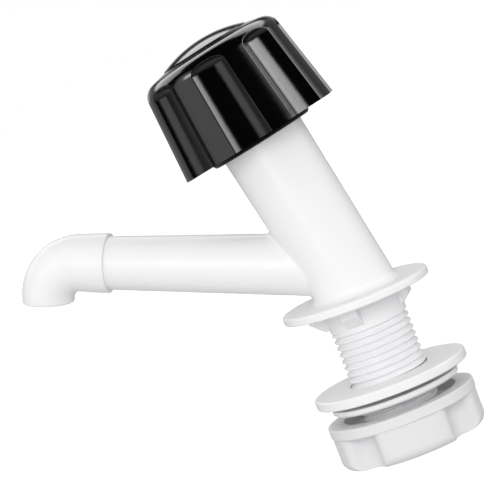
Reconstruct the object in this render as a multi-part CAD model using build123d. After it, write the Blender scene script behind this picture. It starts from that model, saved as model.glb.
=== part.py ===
from build123d import *
import os
from math import cos, radians, sin, sqrt, tan

# Basin tap with a rising spindle, in millimetres and degrees.
# Z runs up the shank, the origin is the middle of the flange's underside, and the spout points along -X.

# Shank, flange and locating ribs
SHANK_RADIUS = 10.45
SHANK_LENGTH = 41.4
SHANK_END_CHAMFER = 0.8
INLET_BORE_RADIUS = 6.8
INLET_CEILING = 0.4
FLANGE_RADIUS = 20.0
FLANGE_OFFSET = 0.9
FLANGE_THICKNESS = 2.2
FLANGE_TOP_ROUND = 0.8
FLANGE_LOWER_ROUND = 0.4
RIB_COUNT = 4
RIB_WIDTH = 4.5
RIB_REACH = 14.0
RIB_STRAIGHT = 2.6
RIB_DEPTH = 5.6

# Barrel, leaning over the spout
BARREL_LEAN = 11.7
BARREL_FOOT_RADIUS = 10.9
BARREL_TOP_RADIUS = 11.5
BARREL_LENGTH = 45.9
BARREL_FOOT_FILLET = 2.0
BARREL_BORE_RADIUS = 8.6
CAVITY_FLOOR = 2.6
SEAT_HEIGHT = 1.4
SEAT_OUTER_RADIUS = 6.0
SEAT_HOLE_RADIUS = 4.5

# Spout tube and its push-on elbow
SPOUT_RISE = 19.3
SPOUT_JOIN = 7.6
SPOUT_ROOT_RADIUS = 8.4
SPOUT_END_RADIUS = 7.1
SPOUT_LENGTH = 62.4
SPOUT_BORE_RADIUS = 4.5
SPOUT_CROTCH_FILLET = 1.2
SPIGOT_RADIUS = 6.0
SPIGOT_LENGTH = 6.6
SPIGOT_CLEARANCE = 0.05
SOCKET_DEPTH = 7.2
ELBOW_MOUTH_RADIUS = 8.0
ELBOW_OUTLET_RADIUS = 6.95
ELBOW_REACH = 17.6
ELBOW_BEND_RADIUS = 9.5
ELBOW_DROP = 10.8
ELBOW_BORE_RADIUS = 4.9
ELBOW_MOUTH_ROUND = 0.4
ELBOW_OUTLET_ROUND = 0.6

# Bonnet, whose collar closes the barrel
BONNET_SPIGOT_LENGTH = 12.5
BONNET_CLEARANCE = 0.06
COLLAR_RADIUS = 14.5
COLLAR_HEIGHT = 6.2
COLLAR_ROUND = 1.0
NECK_RADIUS = 7.0
NECK_HEIGHT = 4.6
SPINDLE_CLEARANCE = 0.05

# O-rings and the play they have in their grooves
O_RING_SECTION = 1.5
O_RING_PLAY = 0.05
O_RING_GROOVE_WIDTH = 2.0
BONNET_GROOVE_BELOW_COLLAR = 3.4
SPINDLE_GROOVE_ABOVE_BARREL = 4.6

# Valve
VALVE_WASHER_RADIUS = 6.4
VALVE_WASHER_THICKNESS = 2.4
JUMPER_PLATE_RADIUS = 6.6
JUMPER_PLATE_THICKNESS = 2.4
JUMPER_STEM_RADIUS = 2.4
JUMPER_STEM_LENGTH = 12.0
JUMPER_STUD_RADIUS = 1.9
JUMPER_STUD_OVERHANG = 0.9
VALVE_CLEARANCE = 0.1

# Spindle
SPINDLE_THREAD_RADIUS = 5.2
SPINDLE_THREAD_LENGTH = 29.0
SPINDLE_JOURNAL_RADIUS = 4.0
SPINDLE_DRIVE_WIDTH = 5.6
SPINDLE_DRIVE_LENGTH = 9.0
SPINDLE_TOP_CHAMFER = 0.4

# Knob, cap and screw
KNOB_GAP = 1.15
KNOB_SKIRT_RADIUS = 22.6
KNOB_SHOULDER_RADIUS = 19.8
KNOB_RIM_HEIGHT = 25.5
KNOB_CROWN_SLOPE = 12.0
KNOB_SHOULDER_ROUND = 4.7
KNOB_WALL = 1.8
KNOB_INNER_ROUND = 0.3
KNOB_ROOF = 2.6
FLUTE_COUNT = 8
FLUTE_RADIUS = 8.0
FLUTE_DEPTH = 2.8
FLUTE_END_DROP = 1.5
FLUTE_END_ROUND = 2.0
FLUTE_EDGE_ROUND = 0.3
FLUTE_PHASE = 10.4
HUB_RADIUS = 6.2
HUB_CLEARANCE = 0.08
CAP_RADIUS = 12.3
CAP_CLEARANCE = 0.2
CAP_DOME = 2.4
CAP_PLATE = 1.6
CAP_PROUD = 0.2
SCREW_RADIUS = 1.6
SCREW_LENGTH = 9.5
SCREW_HEAD_RADIUS = 3.4
SCREW_HEAD_HEIGHT = 2.0
SCREW_SLOT_WIDTH = 0.9
SCREW_SLOT_DEPTH = 0.9
SCREW_CLEARANCE = 0.05
SCREW_HEAD_CLEARANCE = 0.5
SCREW_WEB = 1.5

# Washer, gasket ring and nut on the shank
SHANK_CLEARANCE = 0.3
WASHER_RADIUS = 20.8
WASHER_THICKNESS = 2.6
WASHER_TOP = -21.3
WASHER_ROUND = 0.5
GASKET_RADIUS = 17.4
GASKET_THICKNESS = 1.6
GASKET_GAP = 1.4
GASKET_CHAMFER = 0.5
NUT_GAP = 2.5
NUT_RADIUS = 20.1
NUT_RIM_THICKNESS = 2.9
NUT_HEIGHT = 12.2
NUT_RIM_ROUND = 0.4
NUT_RECESS_RADIUS = 15.5
NUT_RECESS_DEPTH = 2.4
NUT_LOBE_COUNT = 4
NUT_LOBE_RADIUS = 19.8
NUT_VALLEY_RADIUS = 15.8
NUT_VALLEY_CURVE = 5.0
NUT_LOBE_ROUND = 3.0
NUT_LOBE_PHASE = 16.0
NUT_LOWER_ROUND = 2.7

# Frames of the barrel and the spout: Z along each axis, and X of the spout's frame towards the outlet
lean = radians(BARREL_LEAN)
rise = radians(SPOUT_RISE)
barrel_axis = Vector(-sin(lean), 0, cos(lean))
BARREL = Plane(origin=(0, 0, FLANGE_THICKNESS), x_dir=(cos(lean), 0, sin(lean)), z_dir=barrel_axis)
SPOUT = Plane(
    origin=BARREL.origin + barrel_axis * SPOUT_JOIN,
    x_dir=(-sin(rise), 0, -cos(rise)),
    z_dir=(-cos(rise), 0, sin(rise)),
)

# Heights along the barrel's axis
seat_face = CAVITY_FLOOR + SEAT_HEIGHT
plate_low = seat_face + VALVE_WASHER_THICKNESS
plate_high = plate_low + JUMPER_PLATE_THICKNESS
spindle_low = plate_high + VALVE_CLEARANCE
spindle_shoulder = spindle_low + SPINDLE_THREAD_LENGTH
bonnet_low = BARREL_LENGTH - BONNET_SPIGOT_LENGTH
collar_high = BARREL_LENGTH + COLLAR_HEIGHT
neck_high = collar_high + NECK_HEIGHT
skirt_low = BARREL_LENGTH + KNOB_GAP
cap_edge_drop = (KNOB_SHOULDER_RADIUS - CAP_RADIUS) * tan(radians(KNOB_CROWN_SLOPE))
rim_high = skirt_low + KNOB_RIM_HEIGHT
crown_high = rim_high + cap_edge_drop
cap_floor = crown_high - CAP_PLATE
screw_seat = cap_floor - SCREW_HEAD_HEIGHT - SCREW_HEAD_CLEARANCE
spindle_high = screw_seat - SCREW_WEB
drive_low = spindle_high - SPINDLE_DRIVE_LENGTH
knob_ceiling = cap_floor - KNOB_ROOF
flute_middle = KNOB_SKIRT_RADIUS - FLUTE_DEPTH + FLUTE_RADIUS

# Sizes and heights of the two O-rings about the barrel's axis
bonnet_ring_radius = BARREL_BORE_RADIUS - O_RING_PLAY
bonnet_ring_height = BARREL_LENGTH - BONNET_GROOVE_BELOW_COLLAR
spindle_ring_radius = SPINDLE_JOURNAL_RADIUS
spindle_ring_height = BARREL_LENGTH + SPINDLE_GROOVE_ABOVE_BARREL

# Heights along the shank
washer_low = WASHER_TOP - WASHER_THICKNESS
gasket_high = washer_low - GASKET_GAP
gasket_low = gasket_high - GASKET_THICKNESS
nut_high = gasket_low - NUT_GAP
nut_low = nut_high - NUT_HEIGHT
sliding_bore = SHANK_RADIUS + SHANK_CLEARANCE


def turned(*points):
    """Solid turned about Z from its (radius, height) outline."""
    return revolve(make_face(Plane.XZ * Polyline(*points, close=True)), Axis.Z)


def rod(radius, low, high):
    """Cylinder about Z between two heights."""
    return turned((0, low), (radius, low), (radius, high), (0, high))


def tube(radius, bore, low, high):
    """Plain tube about Z between two heights."""
    return turned((bore, low), (radius, low), (radius, high), (bore, high))


def square_bar(width, low, high):
    """Square bar about Z between two heights."""
    return Pos(0, 0, low) * extrude(Rectangle(width, width), high - low)


def o_ring(outer_radius, height):
    """Round-section ring about Z, by its outer radius."""
    return Pos(0, 0, height) * Torus(outer_radius - O_RING_SECTION / 2, O_RING_SECTION / 2)


def groove(outer_radius, height, surface_radius):
    """Ring to cut from a shaft for an O-ring of the given outer radius."""
    floor = outer_radius - O_RING_SECTION - O_RING_PLAY
    half = O_RING_GROOVE_WIDTH / 2
    return tube(surface_radius + O_RING_PLAY, floor, height - half, height + half)


def tap_body():
    """Barrel, spout tube, flange, ribs and shank as one moulding, with its waterway cut through."""
    slope = (BARREL_TOP_RADIUS - BARREL_FOOT_RADIUS) / BARREL_LENGTH
    below = FLANGE_RADIUS * tan(lean) + FLANGE_THICKNESS
    barrel = BARREL * turned(
        (0, -below),
        (BARREL_FOOT_RADIUS - slope * below, -below),
        (BARREL_TOP_RADIUS, BARREL_LENGTH),
        (0, BARREL_LENGTH),
    )
    barrel = split(barrel, bisect_by=Plane.XY, keep=Keep.TOP)
    spout = SPOUT * turned(
        (0, 0),
        (SPOUT_ROOT_RADIUS, 0),
        (SPOUT_END_RADIUS, SPOUT_LENGTH),
        (SPIGOT_RADIUS, SPOUT_LENGTH),
        (SPIGOT_RADIUS, SPOUT_LENGTH + SPIGOT_LENGTH),
        (0, SPOUT_LENGTH + SPIGOT_LENGTH),
    )
    flange = Pos(-FLANGE_OFFSET, 0, 0) * rod(FLANGE_RADIUS, 0, FLANGE_THICKNESS)
    flange = fillet(flange.edges().group_by(Axis.Z)[-1], FLANGE_TOP_ROUND)
    flange = fillet(flange.edges().group_by(Axis.Z)[0], FLANGE_LOWER_ROUND)
    standing = barrel + flange
    standing = fillet(new_edges(barrel, flange, combined=standing), BARREL_FOOT_FILLET)
    body = standing + spout
    body = fillet(new_edges(standing, spout, combined=body), SPOUT_CROTCH_FILLET)
    shank = rod(SHANK_RADIUS, -SHANK_LENGTH, FLANGE_THICKNESS / 2)
    shank = chamfer(shank.edges().group_by(Axis.Z)[0], SHANK_END_CHAMFER)
    rib_outline = Plane.XZ * Polyline(
        (INLET_BORE_RADIUS, FLANGE_THICKNESS / 2),
        (RIB_REACH, FLANGE_THICKNESS / 2),
        (RIB_REACH, -RIB_STRAIGHT),
        (SHANK_RADIUS, -RIB_DEPTH),
        (INLET_BORE_RADIUS, -RIB_DEPTH),
        close=True,
    )
    rib = extrude(make_face(rib_outline), RIB_WIDTH / 2, both=True)
    body += shank
    body += Pos(-FLANGE_OFFSET, 0, 0) * PolarLocations(0, RIB_COUNT) * rib
    body -= BARREL * rod(BARREL_BORE_RADIUS, CAVITY_FLOOR, BARREL_LENGTH)
    body += BARREL * rod(SEAT_OUTER_RADIUS, CAVITY_FLOOR, seat_face)
    body -= rod(INLET_BORE_RADIUS, -SHANK_LENGTH, INLET_CEILING)
    body -= BARREL * rod(SEAT_HOLE_RADIUS, 0, seat_face)
    body -= SPOUT * rod(SPOUT_BORE_RADIUS, BARREL_BORE_RADIUS / 2, SPOUT_LENGTH + SPIGOT_LENGTH)
    return body


def spout_elbow():
    """Quarter bend that narrows from its socket to the outlet, with a socket for the spout's spigot."""
    outlet_along = SPOUT_LENGTH + ELBOW_REACH
    bend_start = outlet_along - ELBOW_BEND_RADIUS
    bend_middle = ELBOW_BEND_RADIUS * (1 - cos(radians(45)))
    run = Line((0, 0, SPOUT_LENGTH), (0, 0, bend_start))
    bend = ThreePointArc(
        (0, 0, bend_start),
        (bend_middle, 0, outlet_along - bend_middle),
        (ELBOW_BEND_RADIUS, 0, outlet_along),
    )
    drop = Line((ELBOW_BEND_RADIUS, 0, outlet_along), (ELBOW_DROP, 0, outlet_along))
    path = run + bend + drop
    mouth = Plane(origin=path @ 0, z_dir=path % 0)
    outlet = Plane(origin=path @ 1, z_dir=path % 1)
    ends = [mouth * Circle(ELBOW_MOUTH_RADIUS), outlet * Circle(ELBOW_OUTLET_RADIUS)]
    elbow = sweep(ends, path, multisection=True)
    elbow = fillet(elbow.edges().sort_by(Axis.X)[-1], ELBOW_OUTLET_ROUND)
    elbow = fillet(elbow.edges().sort_by(Axis.Z)[0], ELBOW_MOUTH_ROUND)
    elbow -= sweep(mouth * Circle(ELBOW_BORE_RADIUS), path)
    elbow -= rod(SPIGOT_RADIUS + SPIGOT_CLEARANCE, SPOUT_LENGTH, SPOUT_LENGTH + SOCKET_DEPTH)
    return SPOUT * elbow


def bonnet():
    """Head turned in one piece: spigot in the barrel, collar on its rim and neck around the spindle."""
    spigot_radius = BARREL_BORE_RADIUS - BONNET_CLEARANCE
    head = rod(spigot_radius, bonnet_low, BARREL_LENGTH)
    collar = rod(COLLAR_RADIUS, BARREL_LENGTH, collar_high)
    head += fillet(collar.edges(), COLLAR_ROUND)
    head += rod(NECK_RADIUS, BARREL_LENGTH, neck_high)
    head -= rod(SPINDLE_JOURNAL_RADIUS + SPINDLE_CLEARANCE, bonnet_low, neck_high)
    head -= rod(SPINDLE_THREAD_RADIUS + SPINDLE_CLEARANCE, bonnet_low, BARREL_LENGTH)
    head -= groove(bonnet_ring_radius, bonnet_ring_height, spigot_radius)
    return BARREL * head


def spindle():
    """Rising spindle: threaded foot, journal with an O-ring groove and a square drive."""
    bar = turned(
        (0, spindle_low),
        (SPINDLE_THREAD_RADIUS, spindle_low),
        (SPINDLE_THREAD_RADIUS, spindle_shoulder),
        (SPINDLE_JOURNAL_RADIUS, spindle_shoulder),
        (SPINDLE_JOURNAL_RADIUS, drive_low),
        (0, drive_low),
    )
    drive = square_bar(SPINDLE_DRIVE_WIDTH, drive_low, spindle_high)
    bar += chamfer(drive.edges().group_by(Axis.Z)[-1], SPINDLE_TOP_CHAMFER)
    stem_hole_end = plate_high + JUMPER_STEM_LENGTH + VALVE_CLEARANCE
    bar -= rod(JUMPER_STEM_RADIUS + VALVE_CLEARANCE, spindle_low, stem_hole_end)
    screw_hole_end = screw_seat - SCREW_LENGTH - SCREW_CLEARANCE
    bar -= rod(SCREW_RADIUS + SCREW_CLEARANCE, screw_hole_end, spindle_high)
    bar -= groove(spindle_ring_radius, spindle_ring_height, SPINDLE_JOURNAL_RADIUS)
    return BARREL * bar


def jumper_valve():
    """Valve plate with a stem above and a stud below that carries the washer."""
    plate = rod(JUMPER_PLATE_RADIUS, plate_low, plate_high)
    plate += rod(JUMPER_STEM_RADIUS, plate_high, plate_high + JUMPER_STEM_LENGTH)
    plate += rod(JUMPER_STUD_RADIUS, seat_face - JUMPER_STUD_OVERHANG, plate_low)
    return BARREL * plate


def valve_washer():
    """Rubber ring on the jumper's stud, down on the seat."""
    return BARREL * tube(VALVE_WASHER_RADIUS, JUMPER_STUD_RADIUS + VALVE_CLEARANCE, seat_face, plate_low)


def knob_scale(height):
    """Share of the skirt's size that the tapering knob has at a height above its edge."""
    return 1 - height / KNOB_RIM_HEIGHT * (1 - KNOB_SHOULDER_RADIUS / KNOB_SKIRT_RADIUS)


def flute():
    """Tapering cutter for one flute, with a rounded upper end."""
    def level(height):
        scale = knob_scale(height)
        return Pos(flute_middle * scale, 0, skirt_low + height) * Circle(FLUTE_RADIUS * scale)
    cutter = loft([level(0), level(KNOB_RIM_HEIGHT - FLUTE_END_DROP)], ruled=True)
    return fillet(cutter.edges().sort_by(Axis.Z)[-1], FLUTE_END_ROUND)


def knob_hollow():
    """Tapering space in the knob, one wall's thickness inside its lobes and flutes."""
    def level(height):
        scale = knob_scale(height)
        section = Circle((KNOB_SKIRT_RADIUS - KNOB_WALL) * scale)
        ridge = Circle((FLUTE_RADIUS + KNOB_WALL) * scale)
        section -= PolarLocations(flute_middle * scale, FLUTE_COUNT) * ridge
        return Pos(0, 0, skirt_low + height) * fillet(section.vertices(), KNOB_INNER_ROUND * scale)
    return loft([level(0), level(knob_ceiling - skirt_low)], ruled=True)


def knob():
    """Hollow fluted knob with a rounded shoulder, a recess for the cap and a hub on the spindle."""
    blank = turned(
        (0, skirt_low),
        (KNOB_SKIRT_RADIUS, skirt_low),
        (KNOB_SHOULDER_RADIUS, rim_high),
        (CAP_RADIUS, crown_high),
        (0, crown_high),
    )
    shoulder = blank.edges().filter_by_position(Axis.Z, rim_high, rim_high)
    blank = fillet(shoulder.filter_by(GeomType.CIRCLE), KNOB_SHOULDER_ROUND)
    flutes = PolarLocations(0, FLUTE_COUNT) * flute()
    shell = blank - flutes
    arrises = new_edges(blank, *flutes, combined=shell)
    arrises = arrises.filter_by_position(Axis.Z, skirt_low, rim_high, inclusive=(False, False))
    shell = fillet(arrises, FLUTE_EDGE_ROUND)
    shell -= knob_hollow()
    shell = Rot(0, 0, FLUTE_PHASE) * shell
    shell += rod(HUB_RADIUS, drive_low, cap_floor)
    shell -= rod(CAP_RADIUS + CAP_CLEARANCE, cap_floor, crown_high)
    shell -= rod(SCREW_HEAD_RADIUS + SCREW_HEAD_CLEARANCE, screw_seat, cap_floor)
    shell -= rod(SCREW_RADIUS + SCREW_CLEARANCE, spindle_high, screw_seat)
    shell -= square_bar(SPINDLE_DRIVE_WIDTH + 2 * HUB_CLEARANCE, drive_low, spindle_high)
    return BARREL * shell


def knob_cap():
    """Domed disc that closes the top of the knob."""
    edge = cap_floor + CAP_PLATE + CAP_PROUD
    sphere = (CAP_RADIUS ** 2 + CAP_DOME ** 2) / (2 * CAP_DOME)
    middle = CAP_RADIUS / 2
    middle_height = edge + CAP_DOME - sphere + sqrt(sphere ** 2 - middle ** 2)
    arc = ThreePointArc((0, edge + CAP_DOME), (middle, middle_height), (CAP_RADIUS, edge))
    sides = Polyline((CAP_RADIUS, edge), (CAP_RADIUS, cap_floor), (0, cap_floor), (0, edge + CAP_DOME))
    return BARREL * revolve(make_face(Plane.XZ * (arc + sides)), Axis.Z)


def knob_screw():
    """Slotted screw that holds the knob down on the spindle."""
    screw = rod(SCREW_RADIUS, screw_seat - SCREW_LENGTH, screw_seat)
    screw += rod(SCREW_HEAD_RADIUS, screw_seat, screw_seat + SCREW_HEAD_HEIGHT)
    slot = extrude(Rectangle(2 * SCREW_HEAD_RADIUS, SCREW_SLOT_WIDTH), SCREW_SLOT_DEPTH)
    screw -= Pos(0, 0, screw_seat + SCREW_HEAD_HEIGHT - SCREW_SLOT_DEPTH) * slot
    return BARREL * screw


def clamp_washer():
    """Flat washer with eased outer edges."""
    washer = rod(WASHER_RADIUS, washer_low, WASHER_TOP)
    return fillet(washer.edges(), WASHER_ROUND) - rod(sliding_bore, washer_low, WASHER_TOP)


def gasket_ring():
    """Sealing ring, bevelled below."""
    ring = rod(GASKET_RADIUS, gasket_low, gasket_high)
    ring = chamfer(ring.edges().group_by(Axis.Z)[0], GASKET_CHAMFER)
    return ring - rod(sliding_bore, gasket_low, gasket_high)


def back_nut():
    """Nut with a thin rim, four grip lobes below it and a recess above its thread."""
    rim = rod(NUT_RADIUS, nut_high - NUT_RIM_THICKNESS, nut_high)
    rim = fillet(rim.edges(), NUT_RIM_ROUND)
    section = Circle(NUT_LOBE_RADIUS)
    first_valley = NUT_LOBE_PHASE + 180 / NUT_LOBE_COUNT
    valleys = PolarLocations(NUT_VALLEY_RADIUS + NUT_VALLEY_CURVE, NUT_LOBE_COUNT, first_valley)
    section -= valleys * Circle(NUT_VALLEY_CURVE)
    section = fillet(section.vertices(), NUT_LOBE_ROUND)
    grip = Pos(0, 0, nut_low) * extrude(section, NUT_HEIGHT - NUT_RIM_ROUND)
    blank = rod(NUT_LOBE_RADIUS, nut_low, nut_high)
    nut = rim + (grip & fillet(blank.edges().group_by(Axis.Z)[0], NUT_LOWER_ROUND))
    nut -= rod(NUT_RECESS_RADIUS, nut_high - NUT_RECESS_DEPTH, nut_high)
    return nut - rod(sliding_bore, nut_low, nut_high)


pieces = {
    "tap_body": tap_body(),
    "spout_elbow": spout_elbow(),
    "bonnet": bonnet(),
    "bonnet_o_ring": BARREL * o_ring(bonnet_ring_radius, bonnet_ring_height),
    "spindle": spindle(),
    "spindle_o_ring": BARREL * o_ring(spindle_ring_radius, spindle_ring_height),
    "jumper_valve": jumper_valve(),
    "valve_washer": valve_washer(),
    "knob": knob(),
    "knob_cap": knob_cap(),
    "knob_screw": knob_screw(),
    "clamp_washer": clamp_washer(),
    "gasket_ring": gasket_ring(),
    "back_nut": back_nut(),
}

os.makedirs("parts", exist_ok=True)
for name, shape in pieces.items():
    export_step(shape, f"parts/{name}.step")
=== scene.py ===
"""Looks of a plastic basin tap: white body with a threaded shank, black fluted knob, studio and camera.

Metres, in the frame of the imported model: Z runs up the shank, and the spout points along -X.
"""

import logging
import math
from dataclasses import dataclass
from enum import Enum

import bmesh
import bpy
import numpy as np
from mathutils import Matrix, Vector


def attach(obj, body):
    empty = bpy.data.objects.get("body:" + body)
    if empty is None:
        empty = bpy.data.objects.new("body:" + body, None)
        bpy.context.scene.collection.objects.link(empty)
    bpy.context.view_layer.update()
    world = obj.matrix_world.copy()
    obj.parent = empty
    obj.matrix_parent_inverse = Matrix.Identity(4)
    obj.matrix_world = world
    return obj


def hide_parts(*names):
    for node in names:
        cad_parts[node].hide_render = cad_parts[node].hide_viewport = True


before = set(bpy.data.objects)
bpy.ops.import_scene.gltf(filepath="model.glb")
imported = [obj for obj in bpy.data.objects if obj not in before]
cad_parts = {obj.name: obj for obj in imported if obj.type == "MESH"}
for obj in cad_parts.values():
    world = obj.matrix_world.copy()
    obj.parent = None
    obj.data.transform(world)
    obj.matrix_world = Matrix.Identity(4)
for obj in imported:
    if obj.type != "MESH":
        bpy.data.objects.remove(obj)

log = logging.getLogger("tap")
WHITE = (1.0, 1.0, 1.0, 1.0)
CLOUD_DETAIL = 3.0
GRAIN_DETAIL = 2.0
GRAIN_SPAN = (0.3, 0.7)
KEPT_NORMAL = "cad_normal"
KEPT_LENGTH = 0.5
Colour = tuple[float, float, float]
Point = tuple[float, float, float]
Span = tuple[float, float]
Value = bpy.types.NodeSocket | Vector | tuple[float, ...] | float


class Look(Enum):
    """Finishes: one for each material slot of the record, and two that are for one piece."""

    WHITE_PLASTIC = "white_plastic"
    BLACK_PLASTIC = "black_plastic"
    GREY_RUBBER = "grey_rubber"
    BLACK_RUBBER = "black_rubber"
    NATURAL_NYLON = "natural_nylon"
    STEEL = "steel"
    BACK_NUT = "back_nut"
    BONNET = "bonnet"


class NodeDesk:
    """A node tree that is emptied and then filled by short calls."""

    def __init__(self, owner: bpy.types.Material | bpy.types.World) -> None:
        """Turn on an owner's node tree and clear it.

        Args:
            owner: The material or world that the tree belongs to.
        """
        owner.use_nodes = True
        self.nodes = owner.node_tree.nodes
        self.links = owner.node_tree.links
        self.nodes.clear()

    def feed(self, end: bpy.types.NodeSocket, value: Value) -> None:
        """Join a socket to an input, or set the input to a plain value.

        Args:
            end: The input.
            value: A node's output, or a plain value.
        """
        if isinstance(value, bpy.types.NodeSocket):
            self.links.new(value, end)
        else:
            end.default_value = value

    def put(
        self, kind: str, output: str, inputs: dict[str | int, Value], **options: str
    ) -> bpy.types.NodeSocket:
        """Add a node, set its options and feed its inputs.

        Args:
            kind: The node's type.
            output: Name of the output that is wanted.
            inputs: Sockets or plain values by the input's name or number.
            options: Settings of the node by name.

        Returns:
            The wanted output.
        """
        node = self.nodes.new(kind)
        for name, option in options.items():
            setattr(node, name, option)
        for key, value in inputs.items():
            self.feed(node.inputs[key], value)
        return node.outputs[output]

    def end(self, kind: str, surface: bpy.types.NodeSocket) -> None:
        """Add the tree's output node and join a surface to it."""
        self.feed(self.nodes.new(kind).inputs["Surface"], surface)

    def number(self, operation: str, first: Value, second: Value = 0.0) -> bpy.types.NodeSocket:
        """Add an operation on one or two numbers."""
        return self.put("ShaderNodeMath", "Value", {0: first, 1: second}, operation=operation)

    def vector(self, operation: str, first: Value, second: Value = (0.0, 0.0, 0.0)) -> bpy.types.NodeSocket:
        """Add an operation on one or two vectors that gives a vector."""
        return self.put("ShaderNodeVectorMath", "Vector", {0: first, 1: second}, operation=operation)

    def dot(self, first: Value, second: Value) -> bpy.types.NodeSocket:
        """Add the dot product of two vectors."""
        return self.put("ShaderNodeVectorMath", "Value", {0: first, 1: second}, operation="DOT_PRODUCT")

    def step(self, value: Value, start: float, end: float) -> bpy.types.NodeSocket:
        """Add a smooth step from 0 at the start to 1 at the end."""
        inputs = {"Value": value, "From Min": start, "From Max": end}
        return self.put("ShaderNodeMapRange", "Result", inputs, interpolation_type="SMOOTHSTEP")

    def spread(self, value: Value, old: Span, new: Span) -> bpy.types.NodeSocket:
        """Add a straight change of a number from one span to another."""
        inputs = {"Value": value, "From Min": old[0], "From Max": old[1], "To Min": new[0], "To Max": new[1]}
        return self.put("ShaderNodeMapRange", "Result", inputs)

    def blend(self, share: Value, first: Value, second: Value) -> bpy.types.NodeSocket:
        """Add a mix of two numbers by a share."""
        return self.put("ShaderNodeMix", "Result", {"Factor": share, "A": first, "B": second})

    def shade(self, share: Value, dark: Colour, light: Colour) -> bpy.types.NodeSocket:
        """Add a mix of two colours by a share."""
        inputs = {"Factor": share, "A": (*dark, 1.0), "B": (*light, 1.0)}
        return self.put("ShaderNodeMix", "Result", inputs, data_type="RGBA")

    def noise(self, spot: Value, size: float, detail: float) -> bpy.types.NodeSocket:
        """Add a noise of a grain size in metres, with a number of finer octaves."""
        return self.put("ShaderNodeTexNoise", "Fac", {"Vector": spot, "Scale": 1.0 / size, "Detail": detail})

    def seen(self) -> bpy.types.NodeSocket:
        """Add a switch that is 1 for what the camera sees, straight or through a clear piece."""
        path = self.nodes.new("ShaderNodeLightPath").outputs
        return self.number("MAXIMUM", path["Is Camera Ray"], path["Is Transmission Ray"])


@dataclass(frozen=True)
class Finish:
    """A moulded, rubber or turned surface: cloudy shade, grain in the gloss and a shallow relief."""

    look: Look
    dark: Colour
    light: Colour
    roughness: Span
    specular: float
    cloud_size: float
    grain_size: float
    relief: float
    metallic: float = 0.0

    def material(self) -> bpy.types.Material:
        """Build the node material.

        Returns:
            The new material, named after its look.
        """
        made = bpy.data.materials.new(self.look.value + "_finish")
        desk = NodeDesk(made)
        spot = desk.put("ShaderNodeTexCoord", "Object", {})
        cloud = desk.noise(spot, self.cloud_size, CLOUD_DETAIL)
        grain = desk.noise(spot, self.grain_size, GRAIN_DETAIL)
        inputs = {
            "Base Color": desk.shade(cloud, self.dark, self.light),
            "Metallic": self.metallic,
            "Specular IOR Level": self.specular,
            "Roughness": desk.spread(grain, GRAIN_SPAN, self.roughness),
            "Normal": desk.put("ShaderNodeBump", "Normal", {"Height": grain, "Distance": self.relief}),
        }
        desk.end("ShaderNodeOutputMaterial", desk.put("ShaderNodeBsdfPrincipled", "BSDF", inputs))
        return made


FINISHES = (
    Finish(
        look=Look.WHITE_PLASTIC,
        dark=(0.81, 0.81, 0.82),
        light=(0.84, 0.84, 0.85),
        roughness=(0.20, 0.26),
        specular=0.1,
        cloud_size=0.018,
        grain_size=0.0004,
        relief=0.000004,
    ),
    Finish(
        look=Look.BACK_NUT,
        dark=(0.71, 0.71, 0.72),
        light=(0.74, 0.74, 0.75),
        roughness=(0.40, 0.50),
        specular=0.1,
        cloud_size=0.018,
        grain_size=0.0004,
        relief=0.000006,
    ),
    Finish(
        look=Look.BLACK_PLASTIC,
        dark=(0.0006,) * 3,
        light=(0.0012,) * 3,
        roughness=(0.10, 0.16),
        specular=0.5,
        cloud_size=0.02,
        grain_size=0.0005,
        relief=0.000002,
    ),
    Finish(
        look=Look.BONNET,
        dark=(0.0006,) * 3,
        light=(0.0012,) * 3,
        roughness=(0.25, 0.35),
        specular=0.1,
        cloud_size=0.02,
        grain_size=0.0005,
        relief=0.000002,
    ),
    Finish(
        look=Look.GREY_RUBBER,
        dark=(0.82, 0.82, 0.83),
        light=(0.87, 0.87, 0.88),
        roughness=(0.5, 0.62),
        specular=0.4,
        cloud_size=0.006,
        grain_size=0.0003,
        relief=0.00001,
    ),
    Finish(
        look=Look.BLACK_RUBBER,
        dark=(0.010,) * 3,
        light=(0.018,) * 3,
        roughness=(0.5, 0.65),
        specular=0.4,
        cloud_size=0.004,
        grain_size=0.0003,
        relief=0.00001,
    ),
    Finish(
        look=Look.NATURAL_NYLON,
        dark=(0.66, 0.63, 0.55),
        light=(0.73, 0.70, 0.62),
        roughness=(0.35, 0.45),
        specular=0.5,
        cloud_size=0.008,
        grain_size=0.0003,
        relief=0.000004,
    ),
    Finish(
        look=Look.STEEL,
        dark=(0.50, 0.50, 0.51),
        light=(0.60, 0.60, 0.61),
        roughness=(0.22, 0.34),
        specular=0.5,
        cloud_size=0.004,
        grain_size=0.0002,
        relief=0.000003,
        metallic=1.0,
    ),
)


def grid_mesh(name: str, points: np.ndarray, closed: bool) -> bpy.types.Mesh:
    """Make a mesh from a grid of points, with a face between each four neighbours.

    Args:
        name: The mesh's name.
        points: Places by row and column.
        closed: Whether the last column joins the first.

    Returns:
        The new mesh.
    """
    rows, columns = points.shape[:2]
    row = np.arange(rows - 1)[:, None] * columns
    here = np.arange(columns if closed else columns - 1)[None, :]
    beside = (here + 1) % columns
    below = row + columns
    corners = np.stack([row + here, below + here, below + beside, row + beside], -1)
    made = bpy.data.meshes.new(name)
    made.from_pydata(points.reshape(-1, 3).tolist(), [], corners.reshape(-1, 4).tolist())
    return made


def keep_normals(mesh: bpy.types.Mesh) -> None:
    """Store a mesh's corner normals as an attribute that lives through an edit.

    Args:
        mesh: The mesh that is about to be edited.
    """
    normals = np.empty(len(mesh.loops) * 3, np.float32)
    mesh.corner_normals.foreach_get("vector", normals)
    kept = mesh.attributes.new(KEPT_NORMAL, "FLOAT_VECTOR", "CORNER")
    kept.data.foreach_set("vector", normals)
    own = mesh.attributes.get("custom_normal")
    if own:
        mesh.attributes.remove(own)


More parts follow.
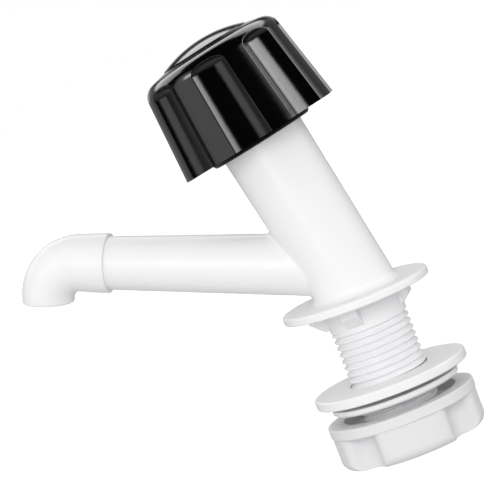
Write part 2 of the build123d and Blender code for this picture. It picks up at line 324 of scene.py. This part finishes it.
def restore_normals(mesh: bpy.types.Mesh, sharp: float) -> None:
    """Give kept corners their normals back and smooth the new faces, whose kept normals have no length.

    Args:
        mesh: The edited mesh.
        sharp: Angle in degrees past which a new edge stays sharp.
    """
    mesh.polygons.foreach_set("use_smooth", np.ones(len(mesh.polygons), bool))
    mesh.set_sharp_from_angle(angle=math.radians(sharp))
    own = np.empty(len(mesh.loops) * 3, np.float32)
    mesh.corner_normals.foreach_get("vector", own)
    kept = np.empty(len(mesh.loops) * 3, np.float32)
    mesh.attributes[KEPT_NORMAL].data.foreach_get("vector", kept)
    own = own.reshape(-1, 3)
    kept = kept.reshape(-1, 3)
    length = np.linalg.norm(kept, axis=1, keepdims=True)
    whole = np.where(length > KEPT_LENGTH, kept / np.maximum(length, KEPT_LENGTH), own)
    mesh.attributes.remove(mesh.attributes[KEPT_NORMAL])
    mesh.normals_split_custom_set(whole)


def place(name: str, data: bpy.types.ID) -> bpy.types.Object:
    """Make an object of a mesh, lamp or camera and put it in the scene.

    Args:
        name: The object's name.
        data: What the object shows.

    Returns:
        The new object.
    """
    made = bpy.data.objects.new(name, data)
    bpy.context.scene.collection.objects.link(made)
    return made


def aim(made: bpy.types.Object, spot: Vector, right: Vector, upright: Vector, back: Vector) -> None:
    """Put a camera or lamp at a spot, looking against its backward direction."""
    turned = Matrix((right, upright, back)).transposed().to_4x4()
    made.matrix_world = Matrix.Translation(spot) @ turned


def paint(piece: bpy.types.Object, finish: bpy.types.Material) -> None:
    """Put one finish on all of a piece."""
    piece.data.materials.clear()
    piece.data.materials.append(finish)


@dataclass
class ThreadedBody:
    """The moulded body, with the fastening thread worked into its shank."""

    name: str = "tap_body_threaded"
    node: str = "tap_body"
    crest: float = 0.01045
    bore: float = 0.0068
    depth: float = 0.00095
    pitch: float = 0.001814
    top: float = -0.0061
    low: float = -0.0403
    margin: float = 0.0002
    run_out: float = 0.0006
    columns: int = 96
    rows_per_turn: int = 14
    flat: float = 0.14
    rounding: float = 0.5
    sharp: float = 40.0
    weld: float = 1e-6
    cut_slack: float = 1e-7

    def surface(self) -> np.ndarray:
        """Work out the thread as a grid over height and angle.

        The radius is the crest less the depth times a triangle wave of the height in pitches less
        the angle in turns, which winds to the right. The wave has short flats, its flanks lie
        between a straight line and a smooth step, and it fades out at both ends.

        Returns:
            Points by row and column.
        """
        high = self.top - self.margin
        deep = self.low + self.margin
        count = int(round((high - deep) / self.pitch * self.rows_per_turn))
        height = np.linspace(high, deep, count)[:, None]
        angle = np.linspace(0.0, 2.0 * np.pi, self.columns, endpoint=False)[None, :]
        phase = np.mod(height / self.pitch - angle / (2.0 * np.pi), 1.0)
        wave = np.clip((np.abs(2.0 * phase - 1.0) - self.flat) / (1.0 - 2.0 * self.flat), 0.0, 1.0)
        smooth = wave * wave * (3.0 - 2.0 * wave)
        wave = (1.0 - self.rounding) * wave + self.rounding * smooth
        fade = np.clip(np.minimum(high - height, height - deep) / self.run_out, 0.0, 1.0)
        radius = self.crest - self.depth * fade * wave
        return np.stack(np.broadcast_arrays(radius * np.cos(angle), radius * np.sin(angle), height), -1)

    def mesh(self) -> bpy.types.Mesh:
        """Copy the moulding, take out the shank's plain wall and bridge the thread into its place.

        Returns:
            The new mesh, with the moulding's own normals outside the thread.
        """
        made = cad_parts[self.node].data.copy()
        made.name = self.name
        keep_normals(made)
        thread = grid_mesh("thread", self.surface(), closed=True)
        shell = bmesh.new()
        shell.from_mesh(made)
        bmesh.ops.remove_doubles(shell, verts=shell.verts, dist=self.weld)
        for height in (self.top, self.low):
            whole = shell.verts[:] + shell.edges[:] + shell.faces[:]
            cut = {"plane_co": (0, 0, height), "plane_no": (0, 0, 1)}
            bmesh.ops.bisect_plane(shell, geom=whole, dist=self.cut_slack, **cut)
        bmesh.ops.delete(shell, geom=self._wall(shell), context="FACES")
        shell.from_mesh(thread)
        bpy.data.meshes.remove(thread)
        rims = [edge for edge in shell.edges if edge.is_boundary]
        middle = (self.top + self.low) / 2.0
        for upper in (True, False):
            pair = [edge for edge in rims if (edge.verts[0].co.z > middle) == upper]
            bmesh.ops.bridge_loops(shell, edges=pair)
        bmesh.ops.recalc_face_normals(shell, faces=self._wall(shell))
        shell.to_mesh(made)
        shell.free()
        restore_normals(made, self.sharp)
        return made

    def build(self, finish: bpy.types.Material) -> bpy.types.Object:
        """Make the threaded body and dress it.

        Args:
            finish: The material of the moulding.

        Returns:
            The new piece, which rides on the tap's body.
        """
        piece = place(self.name, self.mesh())
        paint(piece, finish)
        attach(piece, "body")
        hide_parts(self.node)
        return piece

    def _wall(self, shell: bmesh.types.BMesh) -> list[bmesh.types.BMFace]:
        """Find the faces of the shank's outer wall, between the ends of the thread.

        Args:
            shell: The moulding while it is edited.

        Returns:
            The faces whose middles lie nearer the crest than the bore.
        """
        inner = (self.crest + self.bore) / 2.0
        middles = ((face, face.calc_center_median()) for face in shell.faces)
        band = ((face, spot) for face, spot in middles if self.low < spot.z < self.top)
        return [face for face, spot in band if math.hypot(spot.x, spot.y) > inner]


@dataclass(frozen=True)
class PackedGroup:
    """A sub-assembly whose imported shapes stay, with the look of each of its pieces."""

    name: str
    looks: dict[str, Look]

    def dress(self, finishes: dict[Look, bpy.types.Material]) -> list[str]:
        """Put the finishes on the pieces.

        Args:
            finishes: Materials by look.

        Returns:
            The names of the pieces.
        """
        for name, look in self.looks.items():
            paint(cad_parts[name], finishes[look])
        return list(self.looks)


PACKED_GROUPS = (
    PackedGroup("spout", {"spout_elbow": Look.WHITE_PLASTIC}),
    PackedGroup("head", {"bonnet": Look.BONNET, "bonnet_o_ring": Look.BLACK_RUBBER}),
    PackedGroup("spindle", {"spindle": Look.NATURAL_NYLON, "spindle_o_ring": Look.BLACK_RUBBER}),
    PackedGroup("valve", {"jumper_valve": Look.NATURAL_NYLON, "valve_washer": Look.BLACK_RUBBER}),
    PackedGroup(
        "handle",
        {"knob": Look.BLACK_PLASTIC, "knob_cap": Look.BLACK_PLASTIC, "knob_screw": Look.STEEL},
    ),
    PackedGroup(
        "fastening",
        {"clamp_washer": Look.WHITE_PLASTIC, "gasket_ring": Look.GREY_RUBBER, "back_nut": Look.BACK_NUT},
    ),
)


@dataclass(frozen=True)
class PhotoCamera:
    """The camera at the photograph's angle, with its angles in degrees."""

    azimuth: float = 16.307
    elevation: float = 6.0
    roll: float = -21.086
    distance: float = 0.785211
    target: Point = (-0.023189, 0.0, 0.021210)
    lens: float = 216.0
    sensor: float = 36.0
    clip: Span = (0.05, 60.0)

    def axes(self) -> tuple[Vector, Vector, Vector]:
        """Work out the camera's right, up and backward directions.

        Returns:
            Three unit vectors, turned by the roll about the line of sight.
        """
        angles = (self.azimuth, self.elevation, self.roll)
        azimuth, elevation, roll = (math.radians(angle) for angle in angles)
        flat = Vector((math.sin(azimuth), -math.cos(azimuth), 0.0))
        back = flat * math.cos(elevation) + Vector((0.0, 0.0, math.sin(elevation)))
        level = Vector((math.cos(azimuth), math.sin(azimuth), 0.0))
        upright = back.cross(level)
        right = level * math.cos(roll) + upright * math.sin(roll)
        return right, upright * math.cos(roll) - level * math.sin(roll), back

    def build(self) -> bpy.types.Object:
        """Make the camera and put it in use.

        Returns:
            The camera's object.
        """
        right, upright, back = self.axes()
        data = bpy.data.cameras.new("photo_camera")
        data.lens = self.lens
        data.sensor_width = self.sensor
        data.clip_start, data.clip_end = self.clip
        made = place("photo_camera", data)
        aim(made, Vector(self.target) + back * self.distance, right, upright, back)
        bpy.context.scene.camera = made
        return made


@dataclass(frozen=True)
class Compass:
    """Directions round the leaning barrel: turns start at the camera's side, and tilts go up the barrel."""

    towards: Vector
    across: Vector
    axis: Vector

    @classmethod
    def for_sight(cls, back: Vector, lean: float = 11.7) -> "Compass":
        """Set up the directions for a line of sight.

        Args:
            back: Direction from the tap to the camera.
            lean: The barrel's lean over the spout in degrees.

        Returns:
            The directions.
        """
        slope = math.radians(lean)
        axis = Vector((-math.sin(slope), 0.0, math.cos(slope)))
        towards = (back - axis * back.dot(axis)).normalized()
        return cls(towards, axis.cross(towards), axis)

    def level(self, turn: float) -> Vector:
        """Give the direction square to the barrel at a turn in radians."""
        return self.towards * math.cos(turn) + self.across * math.sin(turn)


@dataclass(frozen=True)
class Panel:
    """A soft-edged patch of light that only gloss shows, with its turns and tilts in degrees."""

    name: str
    turn: float
    tilt: float
    half_turn: float
    half_tilt: float
    edge: float
    glow: float

    def light(
        self, desk: NodeDesk, compass: Compass, level: bpy.types.NodeSocket, tilt: bpy.types.NodeSocket
    ) -> bpy.types.NodeSocket:
        """Add the panel's light for a direction.

        It is the glow times a smooth step of the cosine of the turn from the panel's middle, times
        a smooth step of the tilt from its middle.

        Args:
            desk: The room's node tree.
            compass: The directions that turn and tilt are measured from.
            level: The direction's part that is square to the barrel.
            tilt: The direction's tilt in radians.

        Returns:
            The light's strength.
        """
        angles = (self.half_turn, self.half_tilt, self.edge)
        half_turn, half_tilt, edge = (math.radians(angle) for angle in angles)
        middle = compass.level(math.radians(self.turn))
        starts, stops = math.cos(half_turn + edge / 2.0), math.cos(half_turn - edge / 2.0)
        around = desk.step(desk.dot(level, middle), starts, stops)
        off = desk.number("ABSOLUTE", desk.number("SUBTRACT", tilt, math.radians(self.tilt)))
        upright = desk.step(off, half_tilt + edge / 2.0, half_tilt - edge / 2.0)
        return desk.number("MULTIPLY", desk.number("MULTIPLY", around, upright), self.glow)


@dataclass(frozen=True)
class Room:
    """The surroundings: white to the eye, even for matt light, and dark with soft panels to gloss."""

    matt_light: float = 0.55
    gloss_light: float = 0.01
    panels: tuple[Panel, ...] = (
        Panel("right_sheet", turn=80.0, tilt=10.0, half_turn=27.0, half_tilt=9.0, edge=22.0, glow=8.0),
        Panel("right_rear", turn=134.0, tilt=0.0, half_turn=20.0, half_tilt=50.0, edge=14.0, glow=0.3),
        Panel("left_sheet", turn=-57.0, tilt=0.0, half_turn=17.0, half_tilt=50.0, edge=16.0, glow=1.5),
        Panel("cap_sheet", turn=180.0, tilt=46.5, half_turn=70.0, half_tilt=17.0, edge=5.0, glow=3.0),
        Panel("backdrop", turn=180.0, tilt=7.0, half_turn=24.0, half_tilt=8.0, edge=12.0, glow=0.7),
        Panel("left_rear", turn=-140.0, tilt=0.0, half_turn=22.0, half_tilt=40.0, edge=12.0, glow=0.35),
        Panel("shoulder_spot", turn=-48.0, tilt=32.0, half_turn=8.0, half_tilt=7.0, edge=6.0, glow=9.0),
    )

    def build(self, compass: Compass) -> bpy.types.World:
        """Make the room and put it in use.

        Args:
            compass: The directions that turn and tilt are measured from.

        Returns:
            The room's world.
        """
        made = bpy.data.worlds.new("white_room")
        desk = NodeDesk(made)
        glossy = desk.put("ShaderNodeLightPath", "Is Glossy Ray", {})
        unseen = desk.blend(glossy, self.matt_light, self._gloss(desk, compass))
        inputs = {"Color": WHITE, "Strength": desk.blend(desk.seen(), unseen, 1.0)}
        desk.end("ShaderNodeOutputWorld", desk.put("ShaderNodeBackground", "Background", inputs))
        bpy.context.scene.world = made
        return made

    def _gloss(self, desk: NodeDesk, compass: Compass) -> Value:
        """Add up the panels' light for a direction, over the room's own.

        Args:
            desk: The room's node tree.
            compass: The directions that turn and tilt are measured from.

        Returns:
            The light's strength.
        """
        ray = desk.put("ShaderNodeTexCoord", "Generated", {})
        along = desk.vector("PROJECT", ray, compass.axis)
        level = desk.vector("NORMALIZE", desk.vector("SUBTRACT", ray, along))
        tilt = desk.number("ARCSINE", desk.dot(ray, compass.axis))
        total: Value = self.gloss_light
        for panel in self.panels:
            total = desk.number("ADD", total, panel.light(desk, compass, level, tilt))
        return total


@dataclass(frozen=True)
class Floor:
    """A pale matt floor well below the tap."""

    height: float = -0.30
    reach: float = 9.0
    cells: int = 8
    shade: float = 0.6
    lift: float = 0.72
    roughness: float = 0.9
    specular: float = 0.1

    def build(self) -> bpy.types.Object:
        """Lay the floor as a flat grid over two lengths.

        Returns:
            The floor.
        """
        line = np.linspace(-self.reach, self.reach, self.cells + 1)
        x, y = np.meshgrid(line, line[::-1])
        points = np.stack([x, y, np.full_like(x, self.height)], -1)
        made = place("floor", grid_mesh("floor", points, closed=False))
        paint(made, self._finish())
        return made

    def _finish(self) -> bpy.types.Material:
        """Build the floor's finish, lifted to white for the eye.

        Returns:
            The material.
        """
        made = bpy.data.materials.new("pale_floor")
        desk = NodeDesk(made)
        inputs = {
            "Base Color": (self.shade, self.shade, self.shade, 1.0),
            "Roughness": self.roughness,
            "Specular IOR Level": self.specular,
            "Emission Color": WHITE,
            "Emission Strength": desk.number("MULTIPLY", desk.seen(), self.lift),
        }
        desk.end("ShaderNodeOutputMaterial", desk.put("ShaderNodeBsdfPrincipled", "BSDF", inputs))
        return made


@dataclass(frozen=True)
class Softbox:
    """An area lamp for matt light, or for gloss only, with its turn and tilt in degrees."""

    name: str
    turn: float
    tilt: float
    distance: float
    width: float
    height: float
    glow: float
    gloss_only: bool = False

    def build(self, compass: Compass, centre: Vector) -> bpy.types.Object:
        """Make the lamp.

        Args:
            compass: The directions that turn and tilt are measured from.
            centre: The point that the lamp looks at.

        Returns:
            The lamp's object.
        """
        tilt = math.radians(self.tilt)
        away = compass.level(math.radians(self.turn)) * math.cos(tilt) + compass.axis * math.sin(tilt)
        side = compass.axis.cross(away).normalized()
        lamp = bpy.data.lights.new(self.name, "AREA")
        lamp.shape = "RECTANGLE"
        lamp.size = self.width
        lamp.size_y = self.height
        lamp.energy = self.glow * math.pi * self.width * self.height
        made = place(self.name, lamp)
        aim(made, centre + away * self.distance, side, away.cross(side), away)
        made.visible_glossy = self.gloss_only
        made.visible_diffuse = not self.gloss_only
        made.visible_camera = False
        return made


@dataclass(frozen=True)
class Lighting:
    """The lamps round the barrel, and a strip that only the gloss of some pieces shows."""

    lamps: tuple[Softbox, ...] = (
        Softbox("front_fill", turn=0.0, tilt=12.0, distance=0.8, width=0.5, height=0.5, glow=4.6),
        Softbox("left_box", turn=-80.0, tilt=5.0, distance=0.8, width=0.6, height=0.8, glow=1.0),
        Softbox("right_box", turn=80.0, tilt=5.0, distance=0.8, width=0.6, height=0.8, glow=0.85),
        Softbox("top_box", turn=0.0, tilt=70.0, distance=0.9, width=0.6, height=0.6, glow=0.8),
        Softbox("back_fill", turn=180.0, tilt=25.0, distance=0.8, width=0.5, height=0.5, glow=2.0),
    )
    strip: Softbox = Softbox(
        "gloss_strip",
        turn=-23.0,
        tilt=12.0,
        distance=0.8,
        width=0.24,
        height=0.45,
        glow=9.0,
        gloss_only=True,
    )

    def build(
        self, compass: Compass, centre: Vector, gleaming: list[bpy.types.Object]
    ) -> list[bpy.types.Object]:
        """Hang the lamps, and link the strip to the pieces that show it.

        Args:
            compass: The directions that turn and tilt are measured from.
            centre: The point that the lamps look at.
            gleaming: The pieces that show the strip.

        Returns:
            The lamps, with the strip last.
        """
        made = [lamp.build(compass, centre) for lamp in (*self.lamps, self.strip)]
        shown = bpy.data.collections.new("gleaming_pieces")
        for piece in gleaming:
            shown.objects.link(piece)
        made[-1].light_linking.receiver_collection = shown
        return made


def main() -> None:
    """Build the pieces, dress them and set the studio."""
    logging.basicConfig(level=logging.INFO, format="%(name)s: %(message)s")
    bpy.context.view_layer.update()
    finishes = {finish.look: finish.material() for finish in FINISHES}
    body = ThreadedBody().build(finishes[Look.WHITE_PLASTIC])
    log.info("%s: %d faces", body.name, len(body.data.polygons))
    for group in PACKED_GROUPS:
        for name in group.dress(finishes):
            log.info("%s: %s, packed shape", name, group.name)
    camera = PhotoCamera()
    compass = Compass.for_sight(camera.axes()[2])
    room = Room()
    log.info("%s: room", room.build(compass).name)
    for panel in room.panels:
        log.info("%s: panel of the room", panel.name)
    log.info("%s: stage", Floor().build().name)
    gleaming = [body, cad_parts["spout_elbow"]]
    for lamp in Lighting().build(compass, Vector(camera.target), gleaming):
        log.info("%s: lamp", lamp.name)
    log.info("%s: camera", camera.build().name)
    bpy.context.scene.view_settings.view_transform = "Standard"


if __name__ == "__main__":
    main()
